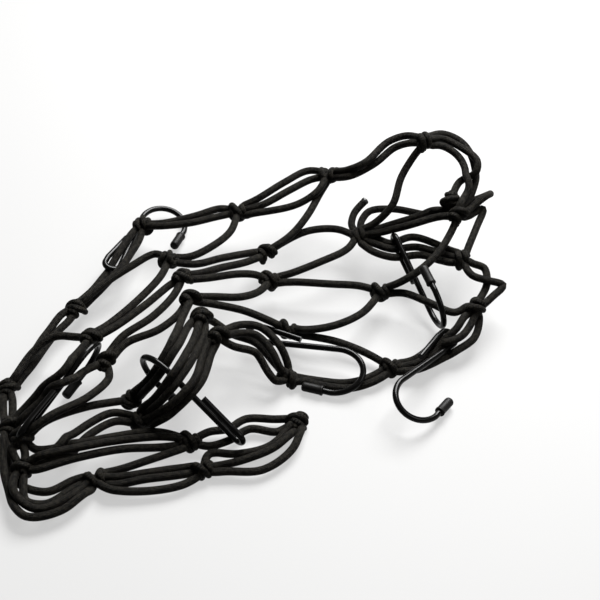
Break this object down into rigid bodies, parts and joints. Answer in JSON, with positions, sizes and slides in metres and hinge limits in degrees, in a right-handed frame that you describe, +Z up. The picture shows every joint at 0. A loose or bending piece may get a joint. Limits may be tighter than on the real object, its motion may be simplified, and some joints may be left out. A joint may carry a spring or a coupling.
{
  "type": "cargo net",
  "caption": "Knotted elastic cord net with capped wire hooks, lying crumpled and half folded over itself.",
  "frame": {"origin": "middle of the lie, on the surface that the net rests on", "axes": "+Z up from the surface; +X to the right and +Y away from the side that shows the folded corner at the left"},
  "size_m": [0.3454, 0.3091, 0.086],
  "materials": {
    "net_cord": "braided black sheath over a rubber core, matt with a slight sheen",
    "hook_wire": "smooth black plastic coat on round steel wire",
    "hook_cap": "satin black moulded cap"
  },
  "bodies": {
    "root": {"net": "net_cord", "hook_1": "hook_wire", "hook_2": "hook_wire", "hook_3": "hook_wire", "hook_4": "hook_wire", "hook_5": "hook_wire", "hook_6": "hook_wire", "hook_1_cap": "hook_cap", "hook_2_cap": "hook_cap", "hook_3_cap": "hook_cap", "hook_4_cap": "hook_cap", "hook_5_cap": "hook_cap", "hook_6_cap": "hook_cap"}
  },
  "joints": []
}
